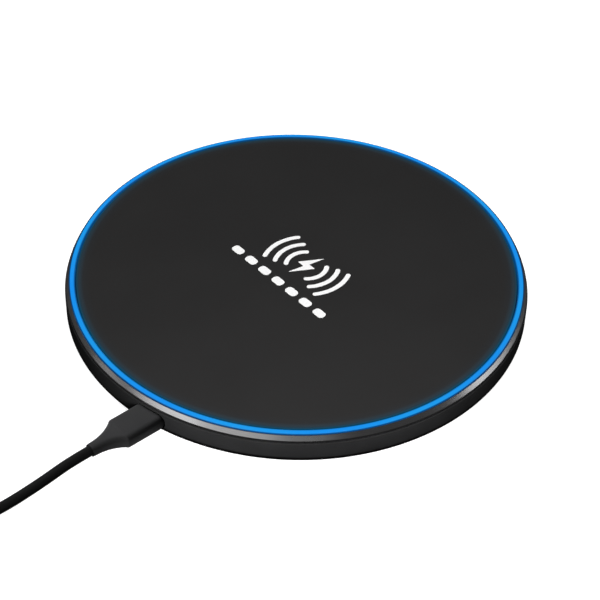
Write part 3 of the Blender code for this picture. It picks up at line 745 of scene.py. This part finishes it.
def make_rim():
    """Trim ring with its bright chamfer, light guide and top plate."""
    edge = 0.035
    trim = [(54.0, 7.52 - edge), (54.0 + edge, 7.52), (54.12 - edge, 7.52), (54.12 + edge * 0.5, 7.52 - edge),
            (54.72 - edge * 0.5, 6.35 + edge), (54.72, 6.35 - edge), (54.72, 5.9 + edge), (54.72 - edge, 5.9),
            (53.15, 5.9), (53.15, 6.35), (54.0, 6.35)]
    dress(make_object("rim_trim", turned(trim)), "pad", "trim_aluminium", "bezel_trim", crease=8)

    crown = [(RING_IN_R, 7.60)]
    crown += arc(RING_IN_R + 0.22, CROWN - 0.22, 0.22, 170, 90, 4)
    crown += arc(RING_OUT_R - 0.22, CROWN - 0.24, 0.22, 90, 10, 4)
    foot = [(RING_OUT_R, 7.55), (RING_OUT_R, 6.6), (52.9, 6.6), (52.9, 5.75), (50.5, 5.75), (50.5, 6.3),
            (RING_IN_R, 6.3)]
    dress(make_object("rim_light_guide", turned(crown + foot)), "pad", "light_guide_blue", "light_guide_ring")

    plate = [(0.0, PANEL_TOP)] + list(arc(PANEL_R - 0.12, PANEL_TOP - 0.12, 0.12, 90, 0, 4))
    plate += [(PANEL_R, PANEL_Z0), (0.0, PANEL_Z0)]
    dress(make_object("top_plate", turned(plate)), "pad", "panel_satin", "top_panel")


def band(radius, start, end, width):
    """Outline of an arc-shaped stroke with round ends."""
    near, far = radius - width / 2, radius + width / 2
    points = list(arc(0.0, 0.0, far, start, end, 24))
    points += arc(*polar(radius, end), width / 2, end, end + 180, 8)
    points += arc(0.0, 0.0, near, end, start, 24)
    points += arc(*polar(radius, start), width / 2, start + 180, start + 360, 8)
    return [p for p, q in zip(points, points[1:] + points[:1]) if (Vector(p) - Vector(q)).length > 0.001]


def make_mark():
    """Generic sign for charging, printed in white: a bolt between waves, over a row of level bars."""
    ink_z = (PANEL_TOP + 0.002, PANEL_TOP + 0.025)
    middle = 3.0
    bolt = [(1.0, 4.9), (-2.3, -0.7), (-0.25, -0.7), (-1.0, -4.9), (2.3, 0.7), (0.25, 0.7)]
    shapes = [rounded([(x, y + middle) for x, y in bolt], 0.25)]
    for radius, spread in ((4.9, 42.0), (7.7, 36.0), (10.5, 30.0)):
        for side in (0.0, 180.0):
            shapes.append([(x, y + middle) for x, y in band(radius, side - spread, side + spread, 1.15)])
    for place in range(-3, 4):
        shapes.append(rounded_rect(3.3, 2.2, 0.9, (place * 4.9, -5.9)))
    bm = bmesh.new()
    for shape in shapes:
        prism(shape, *ink_z, bm=bm)
    dress(make_object("printed_sign", bm), "pad", "panel_satin", look="print_white")


def make_underside():
    """Rounded feet over the screws, and the label."""
    for index, angle in enumerate(POST_ANGLES, 1):
        foot = [(0.0, 0.65), (FOOT_R, 0.65)] + list(arc(FOOT_R - 0.25, 0.25, 0.25, 0, -90, 4))
        foot += [(3.2, 0.0), (3.0, 0.12), (0.0, 0.12)]
        obj = make_object(f"rubber_foot_{index}", turned(foot, 72, polar(POST_ORBIT, angle)))
        dress(obj, "pad", "silicone", f"foot_{index}")
    label = [(0.0, 0.55), (17.0, 0.55)] + list(arc(16.95, 0.47, 0.05, 0, -90, 3)) + [(0.0, 0.42)]
    dress(make_object("label_disc", turned(label, 144)), "pad", "label_grey", "rating_label")


# ---------------------------------------------------------------- plugs
def d_shape(grow, x=PORT_X, z=PORT_Z):
    """Rounded D section of a micro-USB plug, grown or shrunk all round."""
    half, narrow, high = 3.425 + grow, 2.7 + grow * 0.7, 0.9 + grow
    corners = [(half, high), (-half, high), (-half, 0.1), (-narrow, -high), (narrow, -high), (half, 0.1)]
    return [(x + a, z + b) for a, b in rounded(corners, max(0.12, 0.3 + grow * 0.5), 3)]


def strips(count, pitch, width, start, end, low, high, centre):
    """Row of contact strips lying along the plug."""
    bm = bmesh.new()
    for index in range(count):
        x = centre + (index - (count - 1) / 2) * pitch
        made = bmesh.ops.create_cube(bm, size=1.0)["verts"]
        bmesh.ops.scale(bm, vec=(width, end - start, high - low), verts=made)
        bmesh.ops.translate(bm, vec=(x, (start + end) / 2, (low + high) / 2), verts=made)
    return bm


def plug_sections():
    """Sections (y, width, height, corner) of the plug's moulding.

    A rounded nose, a straight body, a crisp shoulder and a long sweep into the neck.
    """
    width, height, corner = 7.6, 3.9, 1.25
    nose_reach, shoulder_end, neck = 2.4, SHOULDER_Y - 0.2, 3.05
    start, start_high = 6.85, 3.7
    nose = []
    for step in range(9):
        turn = math.radians(90.0 * step / 8)
        trim = 1.0 - math.sin(turn)
        nose.append((PLUG_Y0 - nose_reach * (1.0 - math.cos(turn)), width - nose_reach * trim,
                     height - 0.9 * trim, corner - 0.3 * trim))
    back = [(SHOULDER_Y + 0.45, width, height, corner), (SHOULDER_Y + 0.2, 7.5, 3.86, corner),
            (SHOULDER_Y, 7.25, 3.78, corner), (shoulder_end, start, start_high, corner)]
    length = NECK_Y + 0.25 - shoulder_end
    sweep = []
    for step in range(1, 19):
        t = step / 18
        across = neck + (start - neck) * (1 - t) ** 2.6
        high = neck + (start_high - neck) * (1 - t) ** 1.2
        round_off = corner + (neck / 2 - 0.001 - corner) * t
        sweep.append((shoulder_end + length * t, across, high, min(round_off, across / 2 - 0.001)))
    end = [(NECK_Y + depth, size, size, size / 2 - 0.001)
           for depth, size in ((0.07, 3.0), (0.0, 2.88), (0.05, 2.76), (0.6, 2.74), (0.6, 2.5), (1.8, 2.5))]
    return nose + back + sweep + end


def make_plug():
    """Moulding and metal end of the pad's plug, and the contacts inside the port."""
    rings = [[(x, y, z) for x, z in rounded_rect(w, h, r, (PORT_X, PORT_Z), 10)]
             for y, w, h, r in plug_sections()]
    dress(make_object("plug_grip", loft(rings)), "cable", "plug_black", "plug_moulding", crease=50)

    tip = make_object("plug_tip", prism(d_shape(0.0), PLUG_Y0 + GAP, -46.4, along_y))
    hooks = [prism(rounded_rect(0.9, 1.1, 0.15, (PORT_X + side * 1.7, -48.4)), 3.4, 5.0) for side in (-1, 1)]
    carve(tip, [prism(d_shape(-0.25), -60.0, -40.0, along_y)] + hooks)
    dress(tip, "cable", "tin_shell", "plug_shell")
    core = make_object("plug_core", prism(d_shape(-0.5), PLUG_Y0 + GAP, -50.7, along_y))
    dress(core, "cable", "contact_plastic", "plug_insert")

    contacts = make_object("port_contacts", strips(5, 0.65, 0.36, -50.2, -46.3, 2.655, 2.695, PORT_X))
    dress(contacts, "pad", "tin_shell", look="contact_gold")


def make_usb_a():
    """Far-end plug, built along +X from the end of its cable and then laid in place."""
    # x, width, height, corner
    stations = [(1.9, 2.5, 2.5, 1.249), (0.1, 2.5, 2.5, 1.249), (0.1, 3.1, 3.1, 1.54), (0.2, 3.4, 3.4, 1.69),
                (2.0, 3.6, 3.55, 1.74), (4.2, 3.95, 3.9, 1.85), (5.5, 4.6, 4.4, 1.95), (5.8, 6.6, 5.0, 2.2),
                (6.2, 10.4, 6.0, 2.4), (6.7, 13.0, 6.8, 2.6), (7.5, 14.6, 7.4, 2.7), (9.5, 15.1, 7.55, 2.7),
                (16.0, 15.2, 7.6, 2.7), (24.7, 15.3, 7.6, 2.7), (25.15, 15.1, 7.4, 2.6), (25.4, 14.6, 6.9, 2.35)]
    rings = [[(x, -a, b) for a, b in rounded_rect(w, h, r, steps=8)] for x, w, h, r in stations]
    grip = make_object("usb_a_grip", loft(rings), USB_A)
    grooves = [rounded_rect(0.5, 9.0, 0.24, (x, 0.0)) for x in (18.0, 19.5, 21.0, 22.5)]
    tools = [prism(groove, side * 3.6, side * 5.0) for groove in grooves for side in (-1, 1)]
    for tool in tools:
        tool.transform(USB_A)
    carve(grip, tools)
    dress(grip, "cable", "plug_black", "usb_a_moulding", crease=40)

    start, end = 25.65, 37.65
    can = make_object("usb_a_can", prism(rounded_rect(12.0, 4.5, 0.6, steps=4), start, end, along_x), USB_A)
    windows = [prism(rounded_rect(2.0, 2.4, 0.1, (31.0, side * 2.6)), *span)
               for side in (-1, 1) for span in ((1.0, 3.0), (-3.0, -1.0))]
    tools = [prism(rounded_rect(11.4, 3.9, 0.35, steps=4), start - 5.0, end + 5.0, along_x)] + windows
    for tool in tools:
        tool.transform(USB_A)
    carve(can, tools)
    dress(can, "cable", "tin_shell", "usb_a_shell")

    tongue_outline = rounded_rect(10.9, 1.8, 0.2, (0.0, -0.8))
    tongue = make_object("usb_a_tongue", prism(tongue_outline, start, end - 1.0, along_x), USB_A)
    dress(tongue, "cable", "contact_plastic", "usb_a_insert")
    turn = USB_A @ Matrix.Rotation(math.radians(-90.0), 4, "Z")
    strip_set = strips(4, 2.4, 1.1, start + 1.5, end - 1.6, 0.115, 0.16, 0.0)
    contacts = make_object("usb_a_contacts", strip_set, turn)
    dress(contacts, "cable", "tin_shell", look="contact_gold")


def make_strap():
    """Strap round the coil: one turn that overlaps itself on top, with a free end."""
    thick, wide, bend, slack, bow = 0.4, 4.0, 1.4, 0.2, 0.3
    low, high = LAYER_Z[0] - CABLE_D / 2 - slack - thick / 2, LAYER_Z[1] + CABLE_D / 2 + slack + thick / 2
    near = COIL_IN_R - CABLE_D / 2 - slack - bow - thick / 2
    far = COIL_OUT_R + CABLE_D / 2 + slack + thick / 2
    middle = (near + far) / 2
    line = [(middle - 2.0, high)]
    line += arc(far - bend, high - bend, bend, 90, 0, 6)
    line += arc(far - bend, low + bend, bend, 0, -90, 6)
    line += arc(near + bend, low + bend, bend, 270, 180, 6)
    line += arc(near + bend, high - bend, bend, 180, 96, 6)
    line += [(middle - 4.6, high + 0.08), (middle - 3.2, high + 0.34), (middle - 2.0, high + 0.42),
             (middle + 2.4, high + 0.42), (middle + 2.7, high + 0.45)]
    sections = []
    for i, (r, z) in enumerate(line):
        before, after = Vector(line[max(i - 1, 0)]), Vector(line[min(i + 1, len(line) - 1)])
        along = (after - before).normalized()
        sections.append([(COIL_C[0] + across, COIL_C[1] - (r - along.y * out), z + along.x * out)
                         for across, out in rounded_rect(wide, thick, 0.15, steps=2)])
    dress(make_object("coil_strap", loft(sections)), "cable", "tie_black", "cable_tie", crease=50)


make_camera()
make_stage()
make_lights()
LOOKS = make_looks()
for part in frame["record"]["subparts"]:
    node = frame["nodes"][part["node"]]
    node.data.materials.clear()
    node.data.materials.append(LOOKS[part["material_slot"]])

make_case_body()
make_rim()
make_mark()
make_underside()
make_plug()
make_usb_a()
make_strap()
cable = make_cable()
place_flags()
